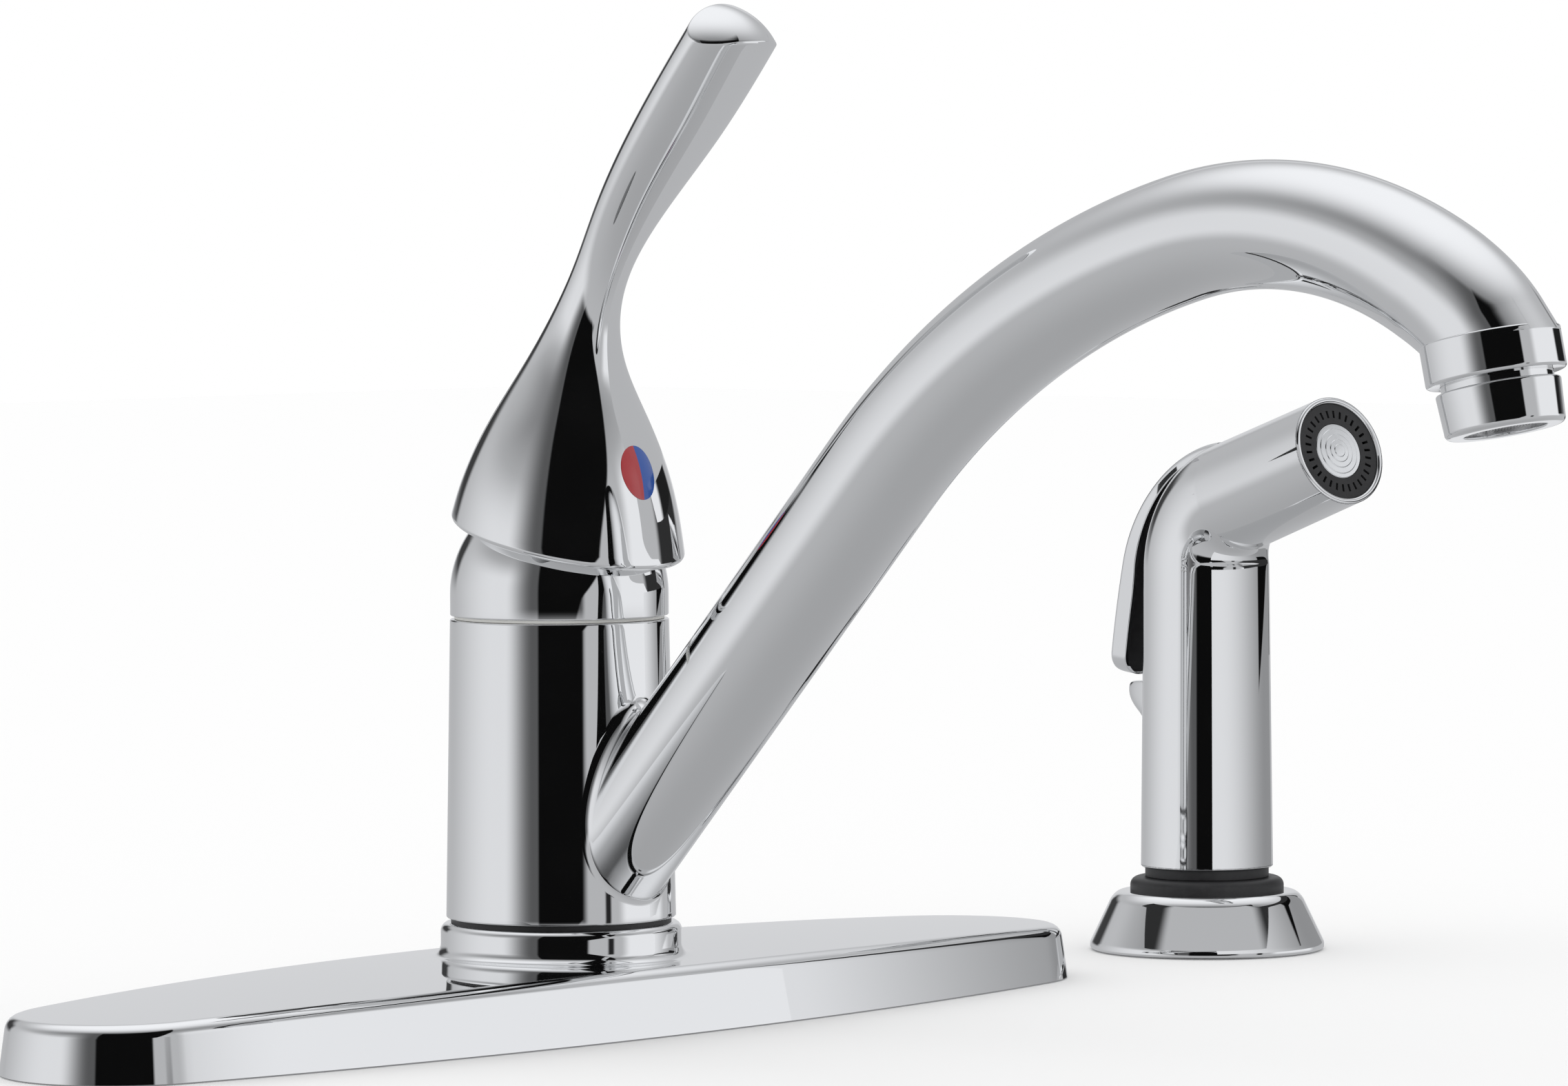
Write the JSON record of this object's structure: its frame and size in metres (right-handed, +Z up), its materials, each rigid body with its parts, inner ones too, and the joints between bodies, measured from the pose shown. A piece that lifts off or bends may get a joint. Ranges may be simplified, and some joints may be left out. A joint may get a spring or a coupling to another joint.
{
  "type": "kitchen faucet",
  "caption": "Chrome single-lever kitchen faucet on a long deck plate, with a swinging curved spout and a pull-out side spray in its own holder.",
  "frame": {"origin": "the body's axis on the deck's top face, where the deck plate sits", "axes": "+X along the deck plate towards the side spray, -Y to the front where the spout points, +Z up along the body's axis"},
  "size_m": [0.3369, 0.2623, 0.2344],
  "materials": {
    "polished_chrome": "bright polished plating",
    "raw_brass": "machined",
    "steel": "plain zinc and stainless steel",
    "black_rubber": "matt",
    "white_plastic": "moulded",
    "white_ceramic": "lapped",
    "black_plastic": "moulded, satin",
    "silver_plastic": "metallised",
    "button_plastic": "red half and blue half under a clear dome"
  },
  "bodies": {
    "base": {"deck_plate": "polished_chrome", "base_gasket": "black_rubber", "mounting_studs": "steel", "mounting_washers": "steel", "mounting_nuts": "raw_brass", "valve_body": "raw_brass", "hot_inlet": "raw_brass", "cold_inlet": "raw_brass", "spray_outlet": "raw_brass", "body_o_rings": "black_rubber", "lower_glide_ring": "white_plastic", "upper_glide_ring": "white_plastic", "cartridge_seals": "black_rubber", "cartridge_base": "white_plastic", "fixed_disc": "white_ceramic", "cartridge_housing": "white_plastic", "bonnet": "polished_chrome", "spray_flange": "polished_chrome", "spray_guide": "black_plastic", "spray_washer": "black_rubber", "spray_nut": "black_plastic"},
    "spout": {"spout": "polished_chrome", "aerator_housing": "polished_chrome", "aerator_screen": "steel", "aerator_insert": "white_plastic", "aerator_washer": "black_rubber"},
    "carrier": {"stem_carrier": "white_plastic", "pivot_pin": "steel"},
    "handle": {"handle": "polished_chrome", "lever_stem": "steel", "set_screw": "steel", "indicator_button": "button_plastic"},
    "mixing_disc": {"moving_disc": "white_ceramic", "disc_driver": "white_plastic"},
    "diverter": {"diverter_piston": "white_plastic", "diverter_seal": "black_rubber"},
    "spray_wand": {"wand_neck": "black_plastic", "hose_fitting": "raw_brass", "wand_shell": "polished_chrome", "trigger_pin": "steel", "spray_face": "black_plastic", "spray_centre": "silver_plastic", "water_tube": "black_plastic", "valve_spring": "steel"},
    "spray_lever": {"spray_lever": "polished_chrome"},
    "spray_valve": {"valve_stem": "white_plastic"}
  },
  "joints": [
    {"name": "spout_swivel", "type": "hinge", "parent": "base", "child": "spout", "pos_m": [0, 0, 0.047], "axis": [0, 0, 1], "range_deg": [-60, 60]},
    {"name": "handle_turn", "type": "hinge", "parent": "base", "child": "carrier", "pos_m": [0, 0, 0.079], "axis": [0, 0, 1], "range_deg": [-45, 45]},
    {"name": "handle_lift", "type": "hinge", "parent": "carrier", "child": "handle", "pos_m": [0, 0, 0.079], "axis": [-1, 0, 0], "range_deg": [0, 26]},
    {"name": "disc_shift", "type": "slide", "parent": "carrier", "child": "mixing_disc", "axis": [0, -1, 0], "range_m": [0, 0.0033]},
    {"name": "diverter_slide", "type": "slide", "parent": "base", "child": "diverter", "axis": [0, -1, 0], "range_m": [0, 0.002]},
    {"name": "spray_lift", "type": "slide", "parent": "base", "child": "spray_wand", "axis": [0, 0, 1], "range_m": [0, 0.12]},
    {"name": "spray_press", "type": "hinge", "parent": "spray_wand", "child": "spray_lever", "pos_m": [0.18241, -0.00626, 0.09743], "axis": [-0.9877, 0.1564, 0], "range_deg": [0, 3], "stiffness_Nm_per_rad": 2, "springref_deg": -5.73},
    {"name": "valve_push", "type": "slide", "parent": "spray_wand", "child": "spray_valve", "axis": [-0.1564, -0.9877, 0], "range_m": [0, 0.0012], "deforming": ["valve_spring"]}
  ],
  "couplings": [
    {"joint": "disc_shift", "follows": "handle_lift", "m_per_rad": 0.007},
    {"joint": "valve_push", "follows": "spray_press", "m_per_rad": 0.022229}
  ]
}
